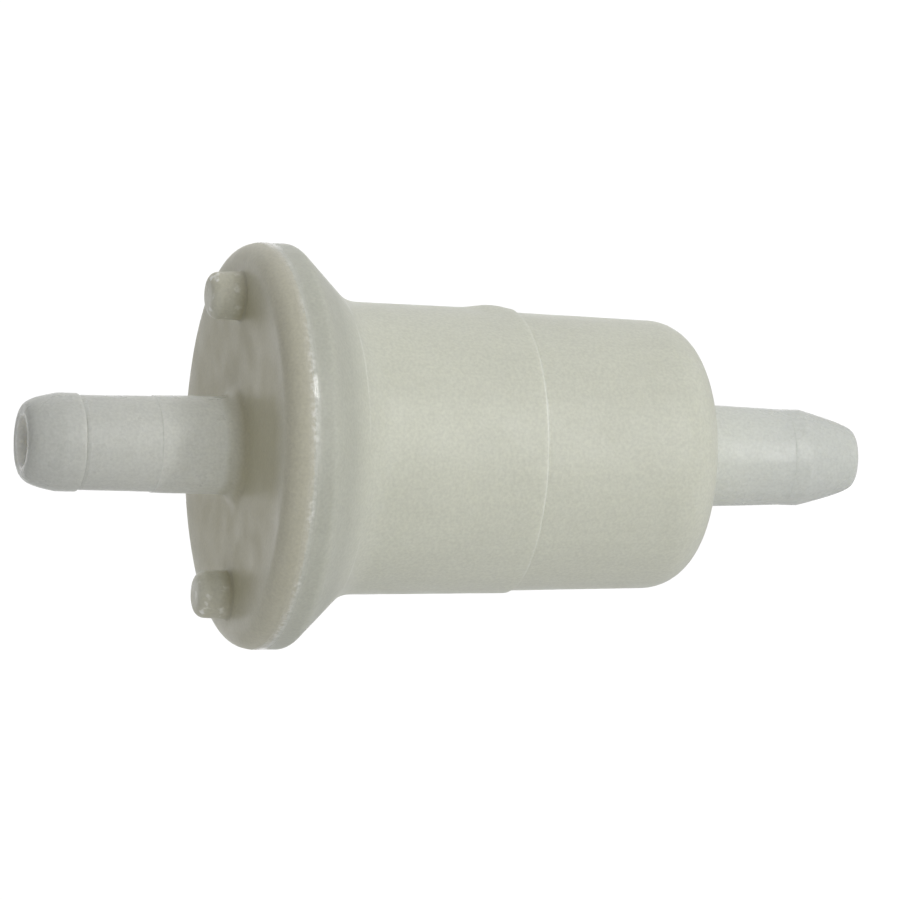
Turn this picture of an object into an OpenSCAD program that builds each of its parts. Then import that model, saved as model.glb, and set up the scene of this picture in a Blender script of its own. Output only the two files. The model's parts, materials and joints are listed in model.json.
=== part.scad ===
// Small inline fuel filter with a spin-welded cap and a pleated paper element.
// Frame: +X runs along the filter from the inlet to the outlet, +Z is up, and the
// origin is on the axis, halfway between the two nipple tips. Fuel enters at -X, passes
// from the outside of the pleated ring to its centre, and leaves at +X.

/* [Overall] */
// Length from nipple tip to nipple tip
overall_len = 62.4; // [60:0.2:66]
// Diameter of the welded flange
flange_d = 29; // [28:0.5:32]
// Wall thickness of the moulded shells
wall = 1.7; // [1.4:0.1:1.9]

/* [Hose nipples] */
// Outer diameter of both barbs, for hose of 6 mm bore
barb_d = 7; // [6.8:0.1:7.4]
// Fuel passage through both nipples
bore_d = 3.6; // [3:0.2:4]
// Length of the inlet nipple, from its tip to the cap's face
inlet_len = 15.6; // [14:0.2:18]
// Length of the outlet nipple, from the shoulder's face to its tip
outlet_len = 12.6; // [12:0.2:15]

/* [Body] */
// Body diameter beside the flank
body_d = 21.04; // [20.8:0.02:21.4]
// Diameter just past the step ring
step_d = 20.1; // [19.8:0.1:20.4]
// Radius of the rounded shoulder
shoulder_r = 3.5; // [3:0.1:4]

/* [Cap] */
// Thickness of the cap's disc
cap_t = 1.8; // [1.4:0.1:1.8]
// Diameter of the two weld drive posts
post_d = 3.4; // [3:0.1:3.8]
// Height of the posts above the cap's face
post_h = 2.4; // [1.5:0.1:3]
// Distance of the posts from the axis
post_offset = 10.7; // [10:0.1:11]

/* [Filter element] */
// Number of pleats in the paper ring
pleats = 20; // [16:1:24]
// Thickness of the paper
paper_t = 0.32; // [0.25:0.01:0.35]
// Outer diameter of the pleats
pleat_d = 14; // [13.4:0.1:14.2]
// Inner diameter of the pleats
pleat_bore_d = 7; // [6.8:0.1:7.4]

/* [Hidden] */
$fn = 96;
eps = 0.01;
edge = 0.06;

natural_nylon = [0.80, 0.81, 0.74];
cap_nylon = [0.72, 0.71, 0.62];
paper_tan = [0.86, 0.76, 0.55];
disc_white = [0.80, 0.78, 0.68];
core_white = [0.88, 0.88, 0.84];
potting_amber = [0.78, 0.62, 0.34];
rubber_black = [0.08, 0.08, 0.08];
clip_steel = [0.66, 0.67, 0.68];

// Stations along the axis
x_in = -overall_len / 2;
x_face = x_in + inlet_len;
x_seam = x_face + cap_t;
x_out = overall_len / 2;
x_end = x_out - outlet_len;
x_end_in = x_end - wall;
x_step = 4.7;
step_len = 0.12;

// Shell radii. The body has a draft angle each side of its step
flange_r = flange_d / 2;
body_r = body_d / 2;
step_r = step_d / 2;
barb_r = barb_d / 2;
bore_r = bore_d / 2;
front_draft = 1.3;
rear_draft = 1.8;
flange_wall = 2.1;
cavity_r = flange_r - flange_wall;

// Flank: a cone whose radius falls as fast as x grows, blended at both ends
flank = 45;
flange_len = 1.4;
rim_round = 0.9;
root_round = 3;
cap_rim_round = 1.5;
seam_chamfer = 0.15;
flank_x = x_seam + flange_len + rim_round * sin(flank);
flank_r = flange_r - rim_round * (1 - cos(flank));
flank_foot_x = flank_x + (flank_r - body_r) / tan(flank);
root_tangent = root_round * tan(flank / 2);

// Stem sizes behind the barbs
stem_step = 0.13;
stem_taper = 0.04;
collar_step = 0.03;
inlet_land = 1.4;
inlet_nose = 2.55;
inlet_belly = 2.9;
inlet_brow = 3.15;
outlet_land = 1.2;
outlet_nose = 4.1;
outlet_belly = 2.3;
outlet_brow = 2.68;
tip_wall = 0.15;
lip_r = bore_r + tip_wall;
stem_flare = 0.25;
stem_root_r = barb_r + stem_flare;
root_fillet = 0.7;
cap_fillet = 1;
collar_x = x_in + 9.5;

// Weld joint: a tongue under the cap's rim fills a groove in the housing's flange
tongue_t = 0.7;
tongue_out_r = flange_r - 0.8;
tongue_in_r = tongue_out_r - tongue_t;
tongue_len = 1;

// Element stack along the axis
element_gap = 1.8;
outlet_gap = 2.2;
disc_t = 0.8;
disc_edge = 0.2;
lip_len = 1.4;
lip_t = 0.5;
lip_gap = 0.1;
glue_t = 0.8;
disc_r = pleat_d / 2 + lip_gap + lip_t;
x_disc_in = x_seam + element_gap;
x_media_in = x_disc_in + disc_t + glue_t;
x_disc_out = x_end_in - outlet_gap;
x_media_out = x_disc_out - disc_t - glue_t;

// Outlet seal: the open disc's neck and its ring sit in a counterbore of the boss
seat_r = 3.05;
seat_depth = 0.9;
ring_d = 0.9;
neck_r = 2.35;
groove_r = seat_r - ring_d;
groove_len = 1.3;
neck_bore_r = 1.6;
neck_gap = 0.2;
neck_end = x_end_in + seat_depth - neck_gap;
ring_back = 0.1;
x_ring = x_end_in - ring_back;
boss_r = 4.6;
boss_len = 1;

// Core tube inside the pleats
core_gap = 0.25;
core_r = pleat_bore_d / 2 - core_gap;
core_t = 0.7;
slot_w = 1.2;
slot_len = 2.4;
slot_pitch = 3.6;

// Ribs. Each runs root_dip into the wall that carries it
stop_ribs = 4;
rib_t = 1.2;
hook_len = 0.6;
guide_ribs = 8;
guide_t = 0.8;
guide_gap = 0.05;
guide_back = 2;
root_dip = 0.2;

// Pleats: each is two parallel legs of paper with a slit between them
pleat_r = pleat_d / 2;
fold_r = pleat_bore_d / 2;
pleat_fill = 0.8;
pleat_half = pleat_fill * PI * (fold_r + paper_t) / pleats;
slit_half = pleat_half - paper_t;

// Outlines are lists of [radius, x] points, so turning one gives a solid along X
function arc(c, r, a0, a1, n = 10) =
    [for (i = [0:n]) let (a = a0 + (a1 - a0) * i / n) c + r * [cos(a), sin(a)]];

function bezier(p, n = 12) =
    [for (i = [0:n]) let (t = i / n, u = 1 - t)
        u * u * u * p[0] + 3 * u * u * t * p[1] + 3 * u * t * t * p[2] + t * t * t * p[3]];

// A nose from its lip at the tip to the barb's land; dir is 1 if the body is towards +X
function nose(tip, dir, len, belly, brow) = bezier([
    [lip_r, tip],
    [belly, tip],
    [brow, tip + dir * 0.25 * len],
    [barb_r, tip + dir * len]]);

function reversed(list) = [for (i = [len(list) - 1:-1:0]) list[i]];

module turned(points) {
    rotate([0, 90, 0])
        rotate_extrude()
            polygon(points);
}

module along_x(x, r, len) {
    translate([x, 0, 0])
        rotate([0, 90, 0])
            cylinder(r = r, h = len);
}

module tube_x(x, r_out, r_in, len) {
    difference() {
        along_x(x, r_out, len);
        along_x(x - eps, r_in, len + 2 * eps);
    }
}

// A ring of radial ribs: count plates of thickness t from r0 to r1, starting half a pitch
// away from +Z
module ribs(count, x, len, r0, r1, t) {
    for (i = [0:count - 1])
        rotate([(i + 0.5) * 360 / count, 0, 0])
            translate([x, -t / 2, r0])
                cube([len, t, r1 - r0]);
}

module post(side) {
    round_r = 0.35;
    sunk = 0.3;
    foot_r = post_d / 2 + 0.05;
    translate([x_face, 0, side * post_offset])
        rotate([0, -90, 0])
            rotate_extrude()
                polygon(concat(
                    [[0, -sunk], [foot_r, -sunk], [post_d / 2, post_h - round_r]],
                    arc([post_d / 2 - round_r, post_h - round_r], round_r, 0, 90, 6),
                    [[0, post_h]]));
}

module cap_shell() {
    barb_rear = x_in + inlet_nose + inlet_land;
    rim_r = flange_r - cap_rim_round;
    seam_edge = 0.05;
    turned(concat(
        [[bore_r, x_seam], [bore_r, x_in]],
        nose(x_in, 1, inlet_nose, inlet_belly, inlet_brow),
        [[barb_r, barb_rear],
            [barb_r - stem_step, barb_rear + edge],
            [barb_r - stem_step + stem_taper, collar_x],
            [barb_r - collar_step, collar_x + edge]],
        arc([barb_r + cap_fillet, x_face - cap_fillet], cap_fillet, 180, 90, 8),
        arc([rim_r, x_face + cap_rim_round], cap_rim_round, -90, 0, 12),
        [[flange_r, x_seam - seam_edge],
            [flange_r - seam_edge, x_seam],
            [tongue_out_r, x_seam],
            [tongue_out_r, x_seam + tongue_len],
            [tongue_in_r, x_seam + tongue_len],
            [tongue_in_r, x_seam]]));
}

module inlet_cap() color(cap_nylon) {
    rib_in_r = 3.4;
    hook_t = 1;
    hook_r = disc_r + guide_gap;
    reach = x_disc_in - x_seam;
    union() {
        cap_shell();
        post(1);
        post(-1);
        ribs(stop_ribs, x_seam - root_dip, reach + root_dip, rib_in_r, hook_r + hook_t, rib_t);
        ribs(stop_ribs, x_disc_in - root_dip, hook_len + root_dip, hook_r, hook_r + hook_t, rib_t);
    }
}

module housing_shell() {
    front_end_r = body_r - tan(front_draft) * (x_step - flank_foot_x);
    rear_x = x_end - shoulder_r;
    rear_r = step_r - tan(rear_draft) * (rear_x - x_step);
    barb_rear = x_out - outlet_nose - outlet_land;
    turned(concat(
        [[cavity_r, x_seam],
            [tongue_in_r, x_seam],
            [tongue_in_r, x_seam + tongue_len],
            [tongue_out_r, x_seam + tongue_len],
            [tongue_out_r, x_seam],
            [flange_r - seam_chamfer, x_seam],
            [flange_r, x_seam + seam_chamfer]],
        arc([flange_r - rim_round, x_seam + flange_len], rim_round, 0, flank, 6),
        arc([body_r + root_round, flank_foot_x + root_tangent], root_round, 180 + flank, 180, 8),
        [[front_end_r, x_step],
            [step_r, x_step + step_len]],
        arc([rear_r - shoulder_r, rear_x], shoulder_r, rear_draft, 90, 14),
        arc([stem_root_r + root_fillet, x_end + root_fillet], root_fillet, 270, 180, 6),
        [[barb_r - edge, barb_rear - edge],
            [barb_r, barb_rear]],
        reversed(nose(x_out, -1, outlet_nose, outlet_belly, outlet_brow)),
        [[bore_r, x_out],
            [bore_r, x_end_in + seat_depth],
            [seat_r, x_end_in + seat_depth],
            [seat_r, x_end_in - boss_len],
            [boss_r, x_end_in - boss_len],
            [boss_r, x_end_in]],
        cavity_wall()));
}

// Cavity side of the wall, from the outlet end back to the flange
function cavity_wall() =
    let (corner = shoulder_r - wall,
        rear_r = step_r - wall - tan(rear_draft) * (x_end - shoulder_r - x_step),
        foot_x = flank_foot_x - wall * tan(flank / 2),
        foot_r = body_r - wall)
    concat(
        arc([rear_r - corner, x_end_in - corner], corner, 90, 0, 8),
        [[foot_r, foot_x],
            [cavity_r, foot_x - (cavity_r - foot_r) / tan(flank)]]);

// A low dome left where the moulding gate was trimmed, just before the step
module gate_nub() {
    nub_r = 1.65;
    nub_h = 0.3;
    nub_base = step_r + 0.1;
    dome_r = (nub_r * nub_r + nub_h * nub_h) / (2 * nub_h);
    translate([x_step - nub_r, 0, nub_base])
        intersection() {
            translate([0, 0, nub_h - dome_r])
                sphere(r = dome_r);
            translate([0, 0, -wall / 2])
                cylinder(r = 1.2 * nub_r, h = wall);
        }
}

module housing() color(natural_nylon) {
    union() {
        housing_shell();
        gate_nub();
        ribs(guide_ribs, x_disc_out - guide_back, x_end_in - x_disc_out + guide_back + root_dip,
            disc_r + guide_gap, step_r - wall + root_dip, guide_t);
    }
}

// Outline of all the pleats, each a tongue of the given half width from root to tip
module pleat_outline(tip, root, half) {
    polygon([for (i = [0:pleats - 1], p = [[root, -half], [tip, -half], [tip, half], [root, half]])
        let (a = i * 360 / pleats)
            [p[0] * cos(a) - p[1] * sin(a), p[0] * sin(a) + p[1] * cos(a)]]);
}

module filter_media() color(paper_tan) {
    translate([x_media_in, 0, 0])
        rotate([0, 90, 0])
            linear_extrude(x_media_out - x_media_in)
                difference() {
                    pleat_outline(pleat_r, fold_r + paper_t, pleat_half);
                    pleat_outline(pleat_r - paper_t, fold_r, slit_half);
                }
}

// A thin channel pressed over the two glued end legs of the paper, on the +Y side
module media_seam_clip() color(clip_steel) {
    clip_t = 0.25;
    clip_reach = 1.3;
    clip_in = 0.8;
    seam = round(pleats / 4) * 360 / pleats;
    clip_half = pleat_half + clip_t;
    translate([x_media_in + clip_in, 0, 0])
        rotate([0, 90, 0])
            linear_extrude(x_media_out - x_media_in - 2 * clip_in)
                rotate(seam)
                    difference() {
                        translate([pleat_r - clip_reach, -clip_half])
                            square([clip_reach + clip_t, 2 * clip_half]);
                        translate([pleat_r - clip_reach - eps, -pleat_half])
                            square([clip_reach + eps, 2 * pleat_half]);
                    }
}

module core_tube() color(core_white) {
    len = x_media_out - x_media_in;
    rows = floor((len - slot_len) / slot_pitch);
    first = x_media_in + (len - (rows - 1) * slot_pitch - slot_len) / 2;
    cut = core_r + 1;
    difference() {
        tube_x(x_media_in, core_r, core_r - core_t, len);
        for (i = [0:rows - 1], a = [0, 60, 120])
            rotate([a + (i % 2) * 30, 0, 0])
                translate([first + i * slot_pitch, -slot_w / 2, -cut])
                    cube([slot_len, slot_w, 2 * cut]);
    }
}

module closed_end_disc() color(disc_white) {
    turned([[0, x_disc_in],
        [disc_r - disc_edge, x_disc_in],
        [disc_r, x_disc_in + disc_edge],
        [disc_r, x_disc_in + disc_t + lip_len],
        [disc_r - lip_t, x_disc_in + disc_t + lip_len],
        [disc_r - lip_t, x_disc_in + disc_t],
        [0, x_disc_in + disc_t]]);
}

module open_end_disc() color(disc_white) {
    turned([[neck_bore_r, x_disc_out - disc_t],
        [disc_r - lip_t, x_disc_out - disc_t],
        [disc_r - lip_t, x_disc_out - disc_t - lip_len],
        [disc_r, x_disc_out - disc_t - lip_len],
        [disc_r, x_disc_out],
        [neck_r, x_disc_out],
        [neck_r, x_ring - groove_len / 2],
        [groove_r, x_ring - groove_len / 2],
        [groove_r, x_ring + groove_len / 2],
        [neck_r, x_ring + groove_len / 2],
        [neck_r - disc_edge, neck_end],
        [neck_bore_r, neck_end]]);
}

module inlet_end_potting() color(potting_amber) {
    along_x(x_disc_in + disc_t, disc_r - lip_t, glue_t);
}

module outlet_end_potting() color(potting_amber) {
    tube_x(x_media_out, disc_r - lip_t, core_r - core_t, glue_t);
}

module outlet_o_ring() color(rubber_black) {
    play = 0.02;
    section_r = ring_d / 2 - play;
    translate([x_ring, 0, 0])
        rotate([0, 90, 0])
            rotate_extrude()
                translate([(groove_r + seat_r) / 2, 0])
                    circle(r = section_r, $fn = 32);
}

inlet_cap();
housing();
filter_media();
media_seam_clip();
core_tube();
closed_end_disc();
open_end_disc();
inlet_end_potting();
outlet_end_potting();
outlet_o_ring();
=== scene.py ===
import json
import math

import bmesh
import bpy
from mathutils import Matrix, Vector, noise


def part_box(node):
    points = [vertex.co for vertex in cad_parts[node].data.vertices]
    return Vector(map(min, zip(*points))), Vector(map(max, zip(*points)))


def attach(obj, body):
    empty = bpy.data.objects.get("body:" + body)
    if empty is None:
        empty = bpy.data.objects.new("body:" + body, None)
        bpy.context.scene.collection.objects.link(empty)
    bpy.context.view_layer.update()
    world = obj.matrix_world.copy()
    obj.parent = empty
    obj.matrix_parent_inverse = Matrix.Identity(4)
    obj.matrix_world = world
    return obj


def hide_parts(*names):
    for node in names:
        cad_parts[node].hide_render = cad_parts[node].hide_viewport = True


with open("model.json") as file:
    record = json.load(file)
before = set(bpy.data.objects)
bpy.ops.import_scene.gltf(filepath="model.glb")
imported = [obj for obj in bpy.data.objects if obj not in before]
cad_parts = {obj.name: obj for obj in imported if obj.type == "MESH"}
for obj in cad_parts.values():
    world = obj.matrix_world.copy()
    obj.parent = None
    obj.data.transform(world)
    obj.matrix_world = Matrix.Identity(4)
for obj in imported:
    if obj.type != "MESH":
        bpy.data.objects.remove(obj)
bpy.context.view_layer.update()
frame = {"nodes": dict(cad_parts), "record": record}

# The two moulded shells are rebuilt here as finely turned meshes in millimetres, with
# the same sizes as the CAD shells. The element inside keeps its CAD meshes. Outlines
# are (radius, x) points about the X axis, and angles about it start at +Z, towards -Y.
MM = 0.001
NODES = frame["nodes"]
MOUNTS = {mount["name"]: mount for mount in frame["record"]["mounts"]}

# ---- Sizes from the frame, mm --------------------------------------------------------
X_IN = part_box("inlet_cap")[0].x / MM
X_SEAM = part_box("housing")[0].x / MM
X_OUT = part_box("housing")[1].x / MM
FLANGE_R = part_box("housing")[1].y / MM
X_DISC_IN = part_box("closed_end_disc")[0].x / MM
DISC_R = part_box("closed_end_disc")[1].y / MM
BARB_R = MOUNTS["inlet_nipple"]["dims"]["r_mm"]
BORE_R = MOUNTS["inlet_passage"]["dims"]["r_mm"]

# ---- Sizes of the shells, mm ---------------------------------------------------------
WALL = 1.7
CAP_T = 1.8
FLANGE_LEN = 1.4
FLANGE_ROUND = 0.9       # fillet between the flange's rim and the flank, and its corner
FLANGE_CORNER = 1.77
X_FACE = X_SEAM - CAP_T
X_END = X_OUT - 12.6
X_END_IN = X_END - WALL
X_STEP = 4.7
X_COLLAR = X_IN + 9.5
FOOT_HIGHLIGHT_X = -8.8         # pale line at the flank's foot, a painted highlight with a little wear
BODY_R = 10.52
STEP_R = 10.05
CAVITY_R = FLANGE_R - 2.1
SHOULDER_R = 3.5
POST_R = 1.7
POST_H = 2.4
POST_OFFSET = 10.7
TIP_R = BORE_R + 0.15
IN_BARB = 3.95           # length of the inlet and outlet barbs
OUT_BARB = 5.3
BARB_STEP = 0.13         # how far the inlet stem is below the barb
EDGE = 0.06              # length of the small steps at the barbs and the collar
TONGUE_OUT = 0.8         # weld tongue: depth of its outer and inner face under the rim
TONGUE_IN = 1.5
TONGUE_LEN = 1
BOSS_R = 4.6             # seal boss and its bore
BOSS_BORE_R = 3.05
HOLD_R = DISC_R + 0.05   # radius at which the ribs of both shells hold the discs
STOP_R = 3.4             # cap's stop ribs: inner radius and thickness
STOP_T = 1.2
GUIDE_LEN = 4.2          # housing's guide ribs: length and thickness
GUIDE_T = 0.8
RIB_EDGE = 0.06
GATE_X = X_STEP - 1.65   # gate nub on the body's top
GATE_H = 0.27
GATE_REACH = 2.3
BEAD_H = 0.05            # mean height of the melted bead at the weld, and its half width
BEAD_REACH = 0.6
SWELL = 0.012            # slow unevenness of the moulded skin
SLIVER = 0.004           # edges shorter than this are leftovers of a cut
STEP = 0.35              # longest side of the shells' outlines
SEGMENTS = 288
FRONT_DRAFT = math.tan(math.radians(1.3))
REAR_DRAFT = math.tan(math.radians(1.8))
TURN = 2 * math.pi


# ---- Outlines ------------------------------------------------------------------------
def bezier(p0, p1, p2, p3, count=12):
    """Points of a cubic curve from p0 to p3, as corners with no fillet."""
    points = []
    for i in range(count + 1):
        t = i / count
        u = 1 - t
        weights = (u * u * u, 3 * u * u * t, 3 * u * t * t, t * t * t)
        r, x = (sum(w * p[k] for w, p in zip(weights, (p0, p1, p2, p3))) for k in (0, 1))
        points.append((r, x, 0))
    return points


def rounded(corners):
    """A closed outline of corners (radius, x, fillet): a fillet over 0 becomes an arc."""
    points = []
    for i, (r, x, fillet) in enumerate(corners):
        here = Vector((r, x))
        if fillet == 0:
            points.append(here)
            continue
        before = (Vector(corners[i - 1][:2]) - here).normalized()
        after = (Vector(corners[(i + 1) % len(corners)][:2]) - here).normalized()
        half = before.angle(after) / 2
        centre = here + (before + after).normalized() * fillet / math.sin(half)
        start = here + before * fillet / math.tan(half) - centre
        end = here + after * fillet / math.tan(half) - centre
        turn = start.angle(end)
        steps = max(3, math.ceil(math.degrees(turn) / 7))
        for k in range(steps + 1):
            share = k / steps
            mix = start * math.sin((1 - share) * turn) + end * math.sin(share * turn)
            points.append(centre + mix / math.sin(turn))
    return points


def dense(outline, step):
    """The outline with every side split so that none is longer than step."""
    on_axis = outline[0].x == 0
    points = []
    for i, here in enumerate(outline[:-1] if on_axis else outline):
        after = outline[(i + 1) % len(outline)]
        parts = max(1, math.ceil((after - here).length / step))
        points += [here.lerp(after, k / parts) for k in range(parts)]
    return points + outline[-1:] if on_axis else points


def new_object(name, bm):
    """An object made of a bmesh, with its faces turned outwards."""
    bmesh.ops.recalc_face_normals(bm, faces=bm.faces)
    mesh = bpy.data.meshes.new(name)
    bm.to_mesh(mesh)
    bm.free()
    obj = bpy.data.objects.new(name, mesh)
    bpy.context.scene.collection.objects.link(obj)
    return obj


def turned(name, outline, segments):
    """A closed surface made by turning an outline about the X axis. The outline is a
    closed loop, or it starts and ends on the axis."""
    bm = bmesh.new()
    on_axis = outline[0].x == 0
    poles = {k: bm.verts.new((p.y, 0, 0)) for k, p in enumerate(outline) if p.x == 0}
    rings = []
    for s in range(segments):
        a = TURN * s / segments
        rings.append([poles.get(k) or bm.verts.new((p.y, -p.x * math.sin(a), p.x * math.cos(a)))
                      for k, p in enumerate(outline)])
    sides = len(outline) - 1 if on_axis else len(outline)
    for s in range(segments):
        one, two = rings[s], rings[(s + 1) % segments]
        for k in range(sides):
            n = (k + 1) % len(outline)
            corners = [one[k], one[n], two[n], two[k]]
            bm.faces.new(list(dict.fromkeys(corners)))
    return new_object(name, bm)


def rib(angle, outline, thickness):
    """A plate standing on the plane at an angle about X, with slightly rounded edges.
    Its outline is a list of (radius, x) corners."""
    bm = bmesh.new()
    along = Vector((0, -math.sin(angle), math.cos(angle)))
    across = along.cross(Vector((1, 0, 0)))
    sides = [[bm.verts.new(along * r + Vector((x, 0, 0)) + across * half) for r, x in outline]
             for half in (-thickness / 2, thickness / 2)]
    count = len(outline)
    for k in range(count):
        n = (k + 1) % count
        bm.faces.new((sides[0][k], sides[0][n], sides[1][n], sides[1][k]))
    for side in sides:
        bm.faces.new(side)
    bmesh.ops.bevel(bm, geom=bm.edges, offset=RIB_EDGE, segments=2, affect="EDGES")
    return new_object("rib", bm)


def fuse(obj, parts):
    """Joins closed solids, which don't touch each other, to obj as one closed surface,
    and cleans the slivers that the cut leaves along its seams."""
    bm = bmesh.new()
    for part in parts:
        bm.from_mesh(part.data)
        bpy.data.objects.remove(part)
    tool = new_object("tool", bm)
    union = obj.modifiers.new("union", "BOOLEAN")
    union.operation = "UNION"
    union.solver = "EXACT"
    union.object = tool
    graph = bpy.context.evaluated_depsgraph_get()
    mesh = bpy.data.meshes.new_from_object(obj.evaluated_get(graph))
    obj.modifiers.clear()
    obj.data = mesh
    bpy.data.objects.remove(tool)
    bm = bmesh.new()
    bm.from_mesh(mesh)
    bmesh.ops.remove_doubles(bm, verts=bm.verts, dist=SLIVER)
    bmesh.ops.dissolve_degenerate(bm, edges=bm.edges, dist=SLIVER)
    bmesh.ops.triangulate(bm, faces=[f for f in bm.faces if len(f.verts) > 4])
    bmesh.ops.dissolve_degenerate(bm, edges=bm.edges, dist=SLIVER)
    bm.to_mesh(mesh)
    bm.free()


def relief(obj, height):
    """Moves each vertex along its normal by height(x, radius, angle, place), in mm."""
    bm = bmesh.new()
    bm.from_mesh(obj.data)
    bm.normal_update()
    moves = []
    for v in bm.verts:
        r = math.hypot(v.co.y, v.co.z)
        moves.append(v.normal * height(v.co.x, r, math.atan2(-v.co.y, v.co.z), v.co))
    for v, move in zip(bm.verts, moves):
        v.co += move
    bm.to_mesh(obj.data)
    bm.free()


def finish_piece(obj, node, material):
    """Scales a piece to metres, smooths it and gives it its node's place in the frame."""
    obj.data.transform(Matrix.Scale(MM, 4))
    obj.data.update()
    obj.data.shade_smooth()
    obj.data.set_sharp_from_angle(angle=math.radians(38))
    obj.data.materials.clear()
    obj.data.materials.append(material)
    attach(obj, "root")
    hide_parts(node)


def bump_at(distance, reach):
    """A smooth bump, 1 in its middle and 0 from reach on."""
    share = min(1, distance / reach)
    return (1 - share * share) ** 2


# ---- Shell outlines ------------------------------------------------------------------
def nose(tip, side, length, belly, brow):
    """The rounded end of a nipple, from its tip to the barb's land."""
    return bezier((TIP_R, tip), (belly, tip), (brow, tip + side * 0.25 * length),
                  (BARB_R, tip + side * length))


def cap_outline():
    barb_rear = X_IN + IN_BARB
    return rounded([
        (BORE_R, X_SEAM, 0.2),
        (BORE_R, X_IN + 0.1, 0.08),
        *nose(X_IN, 1, 2.55, 2.9, 3.15),
        (BARB_R, barb_rear, 0.04),
        (BARB_R - 0.20, barb_rear + EDGE, 0.03),
        (BARB_R - BARB_STEP, barb_rear + 0.35, 0.2),
        (BARB_R - 0.09, X_COLLAR, 0.05),
        (BARB_R - 0.03, X_COLLAR + EDGE, 0.02),
        (BARB_R, X_FACE, 1.0),
        (FLANGE_R, X_FACE, 1.5),
        (FLANGE_R, X_SEAM, 0),
        (FLANGE_R - TONGUE_OUT, X_SEAM, 0),
        (FLANGE_R - TONGUE_OUT, X_SEAM + TONGUE_LEN, 0.1),
        (FLANGE_R - TONGUE_IN, X_SEAM + TONGUE_LEN, 0.1),
        (FLANGE_R - TONGUE_IN, X_SEAM, 0.1),
    ])


def housing_outline():
    flank_x = X_SEAM + FLANGE_LEN + FLANGE_ROUND * math.sin(math.radians(45))
    flank_r = FLANGE_R - FLANGE_ROUND * (1 - math.cos(math.radians(45)))
    foot_x = flank_x + flank_r - BODY_R
    front_r = BODY_R - FRONT_DRAFT * (X_STEP - foot_x)
    end_r = STEP_R - REAR_DRAFT * (X_END - X_STEP)
    barb_rear = X_OUT - OUT_BARB
    inner_foot_x = foot_x - WALL * math.tan(math.radians(22.5))
    inner_r = BODY_R - WALL
    return rounded([
        (CAVITY_R, X_SEAM, 0.1),
        (FLANGE_R - TONGUE_IN, X_SEAM, 0),
        (FLANGE_R - TONGUE_IN, X_SEAM + TONGUE_LEN, 0.05),
        (FLANGE_R - TONGUE_OUT, X_SEAM + TONGUE_LEN, 0.05),
        (FLANGE_R - TONGUE_OUT, X_SEAM, 0),
        (FLANGE_R, X_SEAM, 0),
        (FLANGE_R, X_SEAM + FLANGE_CORNER, FLANGE_ROUND),
        (BODY_R, foot_x, 3.0),
        (front_r, X_STEP, 0.05),
        (STEP_R, X_STEP + 0.12, 0.05),
        (end_r, X_END, SHOULDER_R),
        (BARB_R + 0.25, X_END, 0.7),
        (BARB_R - 0.02, barb_rear - EDGE, 0.03),
        (BARB_R, barb_rear, 0.03),
        *reversed(nose(X_OUT, -1, 4.1, 2.3, 2.68)),
        (BORE_R, X_OUT - 0.1, 0.08),
        (BORE_R, X_END_IN + 0.9, 0.1),
        (BOSS_BORE_R, X_END_IN + 0.9, 0.1),
        (BOSS_BORE_R, X_END_IN - 1, 0.15),
        (BOSS_R, X_END_IN - 1, 0.15),
        (BOSS_R, X_END_IN, 0.2),
        (end_r - WALL, X_END_IN, SHOULDER_R - WALL),
        (inner_r, inner_foot_x, 1.0),
        (CAVITY_R, inner_foot_x - (CAVITY_R - inner_r), 0.4),
    ])


# ---- Relief of the moulded surfaces --------------------------------------------------
def weld_height(x, r, co):
    """The uneven bead of melted nylon along the weld, the same on both shells."""
    if r < FLANGE_R - 0.4:
        return 0
    lumps = 0.05 * max(0, noise.noise(co * 1.7)) + 0.04 * max(-1, noise.noise(co * 3.4))
    return (BEAD_H + lumps) * bump_at(abs(x - X_SEAM), BEAD_REACH)


def cap_height(x, r, angle, co):
    swell = SWELL * noise.noise(co * 0.35)
    if x < X_FACE - 1.2 and r < BARB_R + 0.3:
        swell += SWELL * noise.noise(co * 0.9)
    return swell + weld_height(x, r, co)


def housing_height(x, r, angle, co):
    if r < BORE_R + 0.5:
        return 0
    swell = SWELL * noise.noise(co * 0.35)
    gate = 0
    if r > BODY_R - 1 and abs(angle) < 0.4:
        away = math.hypot(x - GATE_X, angle * r)
        gate = GATE_H * bump_at(away, GATE_REACH) * (1 + 0.12 * noise.noise(co * 1.7))
    return swell + weld_height(x, r, co) + gate


# ---- Materials -----------------------------------------------------------------------
# Painted light: the bores are painted near white, so that they look lit instead of shaded.
BORE_LIGHT_TONE = (0.95, 0.95, 0.92)
# Whitened weld flash, partly a painted highlight: its pale specks stand in for glints along the
# seam.
WELD_FLASH_AND_GLINT_TONE = (0.85, 0.85, 0.80)
# Painted highlight with a little wear: the tone of the pale lines at the step's edge and the
# flank's foot.
WEAR_AND_HIGHLIGHT_TONE = (0.93, 0.94, 0.88)
# Painted glints: pale spots on the posts.
POST_GLINT_TONE = (0.92, 0.92, 0.88)

# Where one tone gives way to the next: radii, and distances from the object's middle, mm
BORE_LIGHT_FADE = (1.75, 1.95)
# Painted light: inside this radius the nipples' stems are paler than the wide parts, and over the
# next range they grow darker towards the tips.
STEM_FADE = (3.5, 4.4)
# Painted light and shade: over these radii the rim's tone comes in, lighter on the cap's rim band
# and darker on the housing's flank.
RIM_LIGHT_AND_SHADE_FADE = (10.6, 13.0)
ROOT_SHADE_FADE = (7, 6)       # painted shade: the inlet stem's root takes the face's darker tone inside this radius
TIP_FADE = (16, 31)
POST_LIGHT_SHARE = 0.5          # how far the posts take the stem's paler tone, painted light

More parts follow.
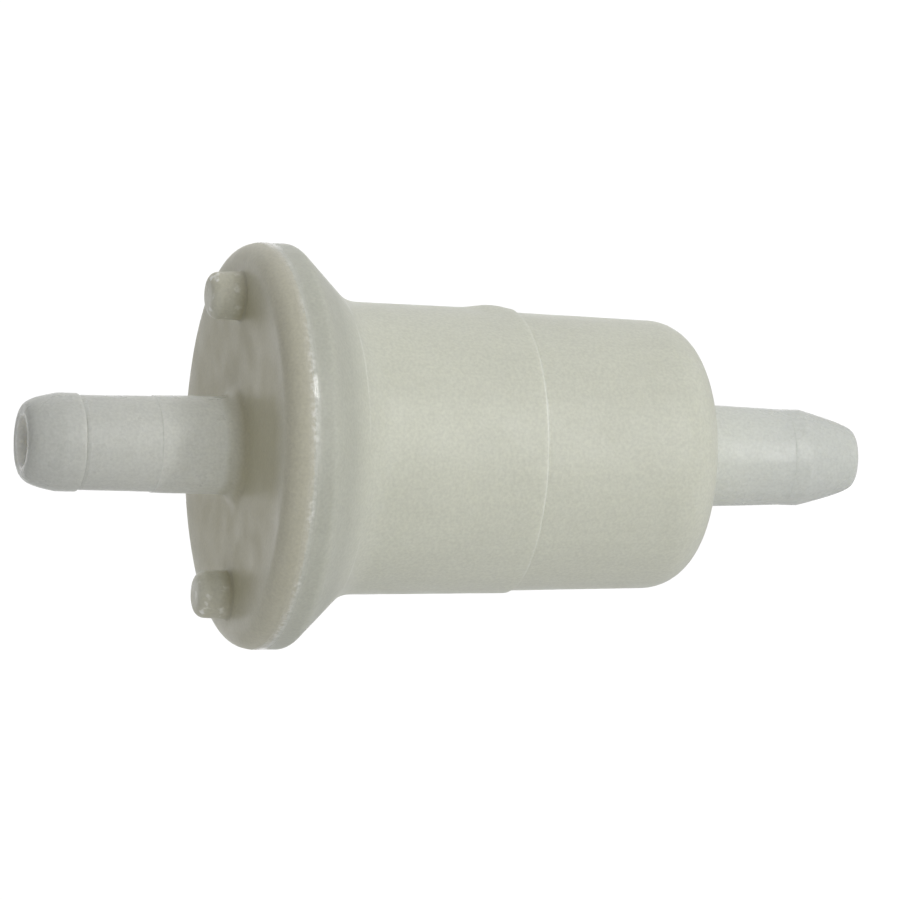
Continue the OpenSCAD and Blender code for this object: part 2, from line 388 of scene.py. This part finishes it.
# Pale lines round the body, painted highlights with a little wear: place on the axis, half width
# and strength
WEAR_AND_HIGHLIGHT_LINES = [(X_STEP + 0.05, 0.16, 0.55), (FOOT_HIGHLIGHT_X, 0.10, 0.3)]


def add(tree, kind, inputs=None, **settings):
    """Adds a node; an input that is a socket is linked, and any other is set."""
    made = tree.nodes.new(kind)
    for key, value in settings.items():
        setattr(made, key, value)
    for key, value in (inputs or {}).items():
        if isinstance(value, bpy.types.NodeSocket):
            tree.links.new(value, made.inputs[key])
        else:
            made.inputs[key].default_value = value
    return made


def grain(tree, place, size_mm, detail=2.0, stretch=(1, 1, 1)):
    """Noise whose spots are about size_mm across."""
    scaled = add(tree, "ShaderNodeMapping", {"Vector": place, "Scale": stretch})
    made = add(tree, "ShaderNodeTexNoise", {
        "Vector": scaled.outputs["Vector"], "Scale": 1 / (size_mm * MM), "Detail": detail})
    return made.outputs["Fac"]


def spread(tree, value, low, high, out_low=0.0, out_high=1.0):
    """The value carried from low..high to out_low..out_high, and held at both ends."""
    made = add(tree, "ShaderNodeMapRange", {
        "Value": value, "From Min": low, "From Max": high, "To Min": out_low, "To Max": out_high})
    return made.outputs["Result"]


def blend_colours(tree, share, one, two):
    """Colour one where share is 0, and colour two where it is 1."""
    made = tree.nodes.new("ShaderNodeMix")
    made.data_type = "RGBA"
    factor, a, b = made.inputs[0], made.inputs[6], made.inputs[7]
    for socket, value in ((factor, share), (a, one), (b, two)):
        if isinstance(value, bpy.types.NodeSocket):
            tree.links.new(value, socket)
        else:
            socket.default_value = value if socket is factor else (*value, 1)
    return made.outputs[2]


def new_material(name):
    material = bpy.data.materials.new(name)
    material.use_nodes = True
    tree = material.node_tree
    shader = tree.nodes["Principled BSDF"]
    place = add(tree, "ShaderNodeTexCoord").outputs["Object"]
    return material, tree, shader, place


def axis_distance(tree, place):
    """Distance from the filter's axis, in millimetres."""
    flat = add(tree, "ShaderNodeVectorMath", {0: place, 1: (0, 1 / MM, 1 / MM)},
               operation="MULTIPLY")
    length = add(tree, "ShaderNodeVectorMath", {0: flat.outputs["Vector"]}, operation="LENGTH")
    return length.outputs["Value"]


def calc(tree, operation, *values, clamp=False):
    """A Math node's result."""
    made = add(tree, "ShaderNodeMath", dict(enumerate(values)), operation=operation,
               use_clamp=clamp)
    return made.outputs[0]


def from_plane(tree, along, x):
    """Distance from the plane at x mm on the axis, in metres."""
    return calc(tree, "ABSOLUTE", calc(tree, "SUBTRACT", along, x * MM))


def shade(tree, colour, value):
    """The colour, made darker or lighter by value."""
    made = add(tree, "ShaderNodeHueSaturation", {"Value": value, "Color": colour})
    return made.outputs["Color"]


def nylon_tone(tree, place, radius, along, tip, lit_stem, wide, rim_light_and_shade):
    """The tone by place, with painted light and shade in it. From the bore's near-white one,
    painted light, by the stem's, painted paler, and the wide part's, painted shade on the cap's
    face, to the rim's, painted light on the cap and painted shade on the housing's flank, as the
    radius grows, and along the stem darker towards the tip. Returns it with the mask of the
    posts, which are painted half as light as the stem."""
    outwards = calc(tree, "ABSOLUTE", along)
    tip_from, tip_to = (x * MM for x in TIP_FADE)
    colour = blend_colours(tree, spread(tree, outwards, tip_from, tip_to), lit_stem, tip)
    # Painted light in the bore: its near-white tone inside this radius.
    colour = blend_colours(tree, spread(tree, radius, *BORE_LIGHT_FADE), BORE_LIGHT_TONE, colour)
    posts = spread(tree, along, (X_FACE - 0.2) * MM, (X_FACE - 1.0) * MM, 0, POST_LIGHT_SHARE)
    wider = calc(tree, "SUBTRACT", spread(tree, radius, *STEM_FADE), posts, clamp=True)
    # Painted shade at the inlet stem's root: it takes the face's darker tone.
    near_face = spread(tree, outwards, -(X_FACE - 1.5) * MM, -(X_FACE - 0.2) * MM)
    root = calc(tree, "MULTIPLY", near_face, spread(tree, radius, *ROOT_SHADE_FADE))
    colour = blend_colours(tree, calc(tree, "MAXIMUM", wider, root), colour, wide)
    # Painted light and shade on the flange: lighter on the cap's rim band, darker on the
    # housing's flank.
    colour = blend_colours(tree, spread(tree, radius, *RIM_LIGHT_AND_SHADE_FADE), colour, rim_light_and_shade)
    cloud = spread(tree, grain(tree, place, 9, 3), 0.35, 0.65, 0.0, 0.5)
    return blend_colours(tree, cloud, colour, shade(tree, colour, 0.94)), posts


def nylon_marks(tree, place, radius, along, from_seam, posts, colour):
    """The tone with the whitened weld flash, partly a painted highlight, the pale lines at the
    step and the flank's foot, painted highlights with a little wear, painted glints on the posts,
    faint flow streaks and fine speckle on it."""
    lumps = spread(tree, grain(tree, place, 0.35, 3), 0.4, 0.65)
    patches = spread(tree, grain(tree, place, 4, 2), 0.4, 0.6, 0.2, 0.7)
    # Painted highlight, partly real flash: the weld is whitened in lumps and patches.
    flash_and_glint = calc(tree, "MULTIPLY", spread(tree, from_seam, 0.35 * MM, 0.1 * MM),
                calc(tree, "MULTIPLY", lumps, patches))
    colour = blend_colours(tree, flash_and_glint, colour, WELD_FLASH_AND_GLINT_TONE)
    # Painted highlights, with a little wear: pale lines at the step's edge and the flank's foot.
    for x, reach, strength in WEAR_AND_HIGHLIGHT_LINES:
        near = spread(tree, from_plane(tree, along, x), reach * MM, 0.3 * reach * MM, 0, strength)
        line = calc(tree, "MULTIPLY", near, spread(tree, grain(tree, place, 5, 2), 0.42, 0.6))
        colour = blend_colours(tree, line, colour, WEAR_AND_HIGHLIGHT_TONE)
    # Painted glints on the posts, as pale spots.
    spots = spread(tree, grain(tree, place, 0.9, 4), 0.56, 0.66, 0, 1.6)
    post_glint = calc(tree, "MULTIPLY", calc(tree, "MULTIPLY", posts, spots),
                 spread(tree, radius, 6, 7))
    colour = blend_colours(tree, post_glint, colour, POST_GLINT_TONE)
    flow = grain(tree, place, 0.8, 3, (0.12, 1, 1))
    colour = shade(tree, colour, spread(tree, flow, 0.3, 0.7, 0.985, 1.015))
    speck = grain(tree, place, 0.22, 3)
    return shade(tree, colour, spread(tree, speck, 0.3, 0.7, 0.93, 1.05))


def nylon_gloss(tree, place, radius, from_seam, roughness):
    """Satin with worn patches: a little smoother stems, and a much smoother weld bead."""
    worn = spread(tree, grain(tree, place, 2.2, 4), 0.3, 0.7, roughness - 0.06, roughness + 0.1)
    worn = calc(tree, "SUBTRACT", worn, spread(tree, radius, 3.9, 3.6, 0, 0.1))
    bead = spread(tree, from_seam, 0.5 * MM, 0.25 * MM)
    return calc(tree, "MULTIPLY_ADD", bead, -0.26, worn)


def nylon(name, tip, lit_stem, wide, rim_light_and_shade, roughness):
    """Milky moulded nylon, which lets light scatter under its skin except at the weld."""
    material, tree, shader, place = new_material(name)
    radius = axis_distance(tree, place)
    along = add(tree, "ShaderNodeSeparateXYZ", {"Vector": place}).outputs["X"]
    from_seam = from_plane(tree, along, X_SEAM)
    colour, posts = nylon_tone(tree, place, radius, along, tip, lit_stem, wide, rim_light_and_shade)
    colour = nylon_marks(tree, place, radius, along, from_seam, posts, colour)
    tree.links.new(colour, shader.inputs["Base Color"])
    gloss = nylon_gloss(tree, place, radius, from_seam, roughness)
    tree.links.new(gloss, shader.inputs["Roughness"])

    fine = add(tree, "ShaderNodeBump", {
        "Height": grain(tree, place, 0.28, 3), "Strength": 0.3, "Distance": 0.03 * MM})
    coarse = add(tree, "ShaderNodeBump", {
        "Height": grain(tree, place, 1.6, 2), "Strength": 0.4, "Distance": 0.03 * MM,
        "Normal": fine.outputs["Normal"]})
    tree.links.new(coarse.outputs["Normal"], shader.inputs["Normal"])

    shader.subsurface_method = "RANDOM_WALK"
    depth = spread(tree, from_seam, 0.15 * MM, 0.6 * MM)
    tree.links.new(depth, shader.inputs["Subsurface Weight"])
    shader.inputs["Subsurface Radius"].default_value = (1.0, 0.98, 0.9)
    shader.inputs["Subsurface Scale"].default_value = 0.8 * MM
    shader.inputs["IOR"].default_value = 1.5
    return material


def plain(name, one, two, size_mm, roughness, bump_mm, stretch=(1, 1, 1), metallic=0.0):
    """A solid material of two close tones, with grain of one size in colour and bump."""
    material, tree, shader, place = new_material(name)
    spots = grain(tree, place, size_mm, 4, stretch)
    tree.links.new(blend_colours(tree, spots, one, two), shader.inputs["Base Color"])
    rough = spread(tree, grain(tree, place, size_mm * 4, 3), 0.3, 0.7,
                   roughness - 0.05, roughness + 0.08)
    tree.links.new(rough, shader.inputs["Roughness"])
    bump = add(tree, "ShaderNodeBump", {
        "Height": spots, "Strength": 0.6, "Distance": bump_mm * MM})
    tree.links.new(bump.outputs["Normal"], shader.inputs["Normal"])
    shader.inputs["Metallic"].default_value = metallic
    return material


# ---- Shells --------------------------------------------------------------------------
def post(side):
    """A weld drive post on the cap's face, turned about its own axis and then placed."""
    outline = rounded([
        (0, 0.4, 0), (POST_R + 0.3, 0.4, 0), (POST_R + 0.3, 0.02, 0),
        (POST_R + 0.05, -0.02, 0.2), (POST_R - 0.05, -POST_H, 0.75), (0, -POST_H, 0)])
    obj = turned("post", dense(outline, 0.25), 72)
    for v in obj.data.vertices:
        v.co += Vector((X_FACE, 0, side * POST_OFFSET))
    return obj


def make_cap(material):
    cap = turned("inlet_cap_shell", dense(cap_outline(), STEP), SEGMENTS)
    relief(cap, cap_height)
    x0, x1, x2 = X_SEAM - 0.2, X_DISC_IN, X_DISC_IN + 0.6
    stop = [(STOP_R, x0), (HOLD_R + 1, x0), (HOLD_R + 1, x2), (HOLD_R, x2), (HOLD_R, x1),
            (STOP_R, x1)]
    stops = [rib((i + 0.5) * TURN / 4, stop, STOP_T) for i in range(4)]
    fuse(cap, [post(1), post(-1), *stops])
    finish_piece(cap, "inlet_cap", material)


def make_housing(material):
    housing = turned("housing_shell", dense(housing_outline(), STEP), SEGMENTS)
    relief(housing, housing_height)
    x0, x1 = X_END_IN - GUIDE_LEN, X_END_IN + 0.2
    r0, r1 = HOLD_R, STEP_R - WALL + 0.2
    guide = [(r0, x0), (r1, x0), (r1, x1), (r0, x1)]
    fuse(housing, [rib((i + 0.5) * TURN / 8, guide, GUIDE_T) for i in range(8)])
    finish_piece(housing, "housing", material)


# ---- Build ---------------------------------------------------------------------------
# Both shells are the same nylon. The cap's wide tone, darker and browner than the housing's, is
# painted shade on its face, turned from the light, with some tint of the thicker plastic. The rim
# tones are painted light on the cap's rim band and painted shade on the housing's flank, and the
# stems' tones are painted light.
make_cap(nylon("cap_nylon", tip=(0.58, 0.59, 0.555), lit_stem=(0.84, 0.85, 0.79),
               wide=(0.485, 0.462, 0.335), rim_light_and_shade=(0.58, 0.565, 0.46), roughness=0.40))
make_housing(nylon("housing_nylon", tip=(0.69, 0.71, 0.67), lit_stem=(0.77, 0.79, 0.745),
                   wide=(0.72, 0.73, 0.63), rim_light_and_shade=(0.56, 0.57, 0.495), roughness=0.36))

PAPER = plain("filter_paper", (0.78, 0.66, 0.42), (0.66, 0.54, 0.31), 0.25, 0.85, 0.05)
STEEL = plain("clip_steel", (0.56, 0.57, 0.58), (0.46, 0.47, 0.49), 0.3, 0.34, 0.01,
              stretch=(0.08, 1, 1), metallic=1.0)
CORE = plain("core_nylon", (0.74, 0.74, 0.68), (0.67, 0.67, 0.61), 0.8, 0.5, 0.02)
DISC = plain("disc_nylon", (0.64, 0.62, 0.52), (0.57, 0.55, 0.46), 0.9, 0.5, 0.02)
POTTING = plain("potting", (0.66, 0.53, 0.30), (0.55, 0.42, 0.22), 1.4, 0.25, 0.04)
RUBBER = plain("o_ring_rubber", (0.03, 0.03, 0.03), (0.05, 0.05, 0.048), 0.2, 0.6, 0.01)
INNER = {
    "filter_media": PAPER,
    "media_seam_clip": STEEL,
    "core_tube": CORE,
    "closed_end_disc": DISC,
    "open_end_disc": DISC,
    "inlet_end_potting": POTTING,
    "outlet_end_potting": POTTING,
    "outlet_o_ring": RUBBER,
}
for node, material in INNER.items():
    NODES[node].data.materials.clear()
    NODES[node].data.materials.append(material)


# ---- Stage ---------------------------------------------------------------------------
FLOOR_X = 0.6            # floor: half width, front and back edge, and height, m
FLOOR_Y = (-0.9, 0.075)
FLOOR_Z = -45 * MM

# Soft lights in the dome: azimuth from -Y towards +X, elevation, and brightness
SOFT_LIGHTS = [
    (0, 5, 0.30), (45, 0, 0.36), (10, 55, 0.35), (50, 45, 0.25), (180, 50, 0.5),
]
SOFTNESS = 5.0           # power of each light's fall-off: a higher one is narrower
GROUND = (0.27, 0.38)    # dome's own brightness, towards the inlet end and elsewhere
BACKDROP = (0.84, 0.90)  # ray's Y where the white backdrop begins and is full
WHITE = (1.05, 1.05, 1.05)

VIEW = (-17.5, 5.0)      # camera's azimuth and elevation, and its roll
ROLL = 2.78
DISTANCE = 0.5           # from the middle of the object, m
LENS = 278               # mm, on Blender's own sensor width
SIDE_SHIFT = 0.5396      # how far the camera stands to the right of the middle, mm


def floor():
    """A plain pale table top under the object, with its back edge just behind it."""
    mesh = bpy.data.meshes.new("floor")
    front, back = FLOOR_Y
    corners = [(-FLOOR_X, front, FLOOR_Z), (FLOOR_X, front, FLOOR_Z),
               (FLOOR_X, back, FLOOR_Z), (-FLOOR_X, back, FLOOR_Z)]
    mesh.from_pydata(corners, [], [(0, 1, 2, 3)])
    obj = bpy.data.objects.new("floor", mesh)
    bpy.context.scene.collection.objects.link(obj)
    material, tree, shader, place = new_material("pale_floor")
    tint = blend_colours(tree, grain(tree, place, 60, 2), (0.80, 0.80, 0.80), (0.77, 0.77, 0.77))
    tree.links.new(tint, shader.inputs["Base Color"])
    shader.inputs["Roughness"].default_value = 0.9
    mesh.materials.append(material)


def direction(azimuth, elevation, distance=1):
    """A place seen from the origin at an azimuth from -Y towards +X, and an elevation."""
    a, e = math.radians(azimuth), math.radians(elevation)
    return distance * Vector((math.sin(a) * math.cos(e), -math.cos(a) * math.cos(e), math.sin(e)))


def softbox(name, place, size, power):
    """A rectangular area light at place, in metres, turned to the object's middle."""
    light = bpy.data.lights.new(name, "AREA")
    light.shape = "RECTANGLE"
    light.size, light.size_y = size
    light.energy = power
    obj = bpy.data.objects.new(name, light)
    obj.location = place
    obj.rotation_mode = "QUATERNION"
    obj.rotation_quaternion = place.to_track_quat("Z", "Y")
    bpy.context.scene.collection.objects.link(obj)


def sky():
    """A dome of broad soft lights on a grey ground that is dimmer towards the inlet end,
    with a white backdrop behind the object."""
    world = bpy.data.worlds.new("studio")
    bpy.context.scene.world = world
    world.use_nodes = True
    tree = world.node_tree
    ray = add(tree, "ShaderNodeTexCoord").outputs["Generated"]
    split = add(tree, "ShaderNodeSeparateXYZ", {"Vector": ray}).outputs
    total = spread(tree, split["X"], -0.9, -0.1, *GROUND)
    for azimuth, elevation, strength in SOFT_LIGHTS:
        facing = add(tree, "ShaderNodeVectorMath", {0: ray, 1: direction(azimuth, elevation)},
                     operation="DOT_PRODUCT").outputs["Value"]
        lobe = calc(tree, "POWER", calc(tree, "MAXIMUM", facing, 0.0), SOFTNESS)
        total = calc(tree, "MULTIPLY_ADD", lobe, strength, total)
    colour = blend_colours(tree, spread(tree, split["Y"], *BACKDROP), total, WHITE)
    tree.links.new(colour, tree.nodes["Background"].inputs["Color"])


def camera():
    """A long lens at the photograph's angle, turned a little about its own axis."""
    back = direction(*VIEW)
    roll = math.radians(ROLL)
    side = (-back).cross(Vector((0, 0, 1))).normalized()
    up = side.cross(-back)
    right = side * math.cos(roll) + up * math.sin(roll)
    top = up * math.cos(roll) - side * math.sin(roll)
    data = bpy.data.cameras.new("camera")
    data.lens = LENS
    data.clip_start = 0.05
    data.clip_end = 20
    obj = bpy.data.objects.new("camera", data)
    obj.rotation_mode = "QUATERNION"
    obj.rotation_quaternion = Matrix((right, top, back)).transposed().to_quaternion()
    obj.location = back * DISTANCE + right * SIDE_SHIFT * MM
    bpy.context.scene.collection.objects.link(obj)
    bpy.context.scene.camera = obj


floor()
sky()
softbox("strip", direction(25, 11, 0.45), (0.008, 0.56), 0.5)
camera()
bpy.context.scene.view_settings.view_transform = "Standard"
